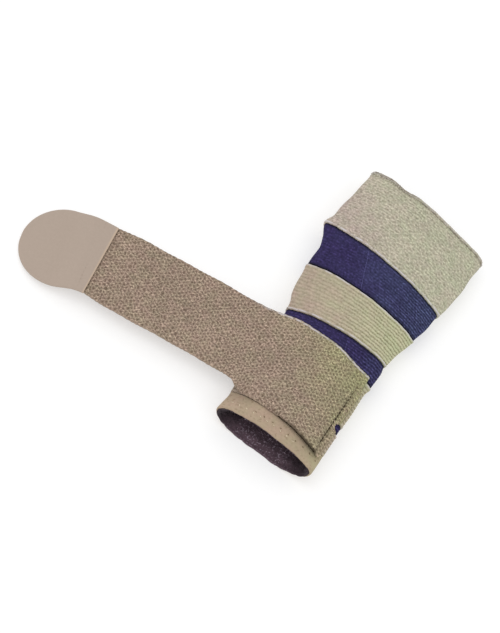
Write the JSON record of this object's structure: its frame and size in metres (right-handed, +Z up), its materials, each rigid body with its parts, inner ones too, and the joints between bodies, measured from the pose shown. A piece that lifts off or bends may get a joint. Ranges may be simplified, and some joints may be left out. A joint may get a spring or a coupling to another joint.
{
  "type": "hand brace",
  "caption": "Knitted elastic hand and wrist sleeve with beige and navy bands, lying flat, and a wide wrist strap that ends in a rounded hook tab.",
  "frame": {"origin": "middle of the sleeve's flat underside, on the surface it lies on", "axes": "+X across the sleeve, away from the strap's free end; +Y along the sleeve from the wrist to the palm; +Z up from the surface"},
  "size_m": [0.2276, 0.2008, 0.0259],
  "materials": {
    "hem_knit": "smooth turned knit, beige",
    "beige_rib": "ribbed elastic knit, beige",
    "navy_knit": "fine elastic knit, navy",
    "cuff_knit": "fine elastic knit, light beige",
    "lining_terry": "dark terry knit",
    "strap_loop": "pebbled loop knit, brown beige",
    "tab_felt": "smooth matt facing, pinkish beige"
  },
  "bodies": {
    "root": {"wrist_hem": "hem_knit", "wrist_rib_lower": "beige_rib", "navy_stripe": "navy_knit", "wrist_rib_upper": "beige_rib", "navy_band_lower": "navy_knit", "rib_band": "beige_rib", "navy_band_upper": "navy_knit", "palm_cuff": "cuff_knit", "wrist_lining": "lining_terry", "strap": "strap_loop", "hook_tab": "tab_felt"}
  },
  "joints": []
}
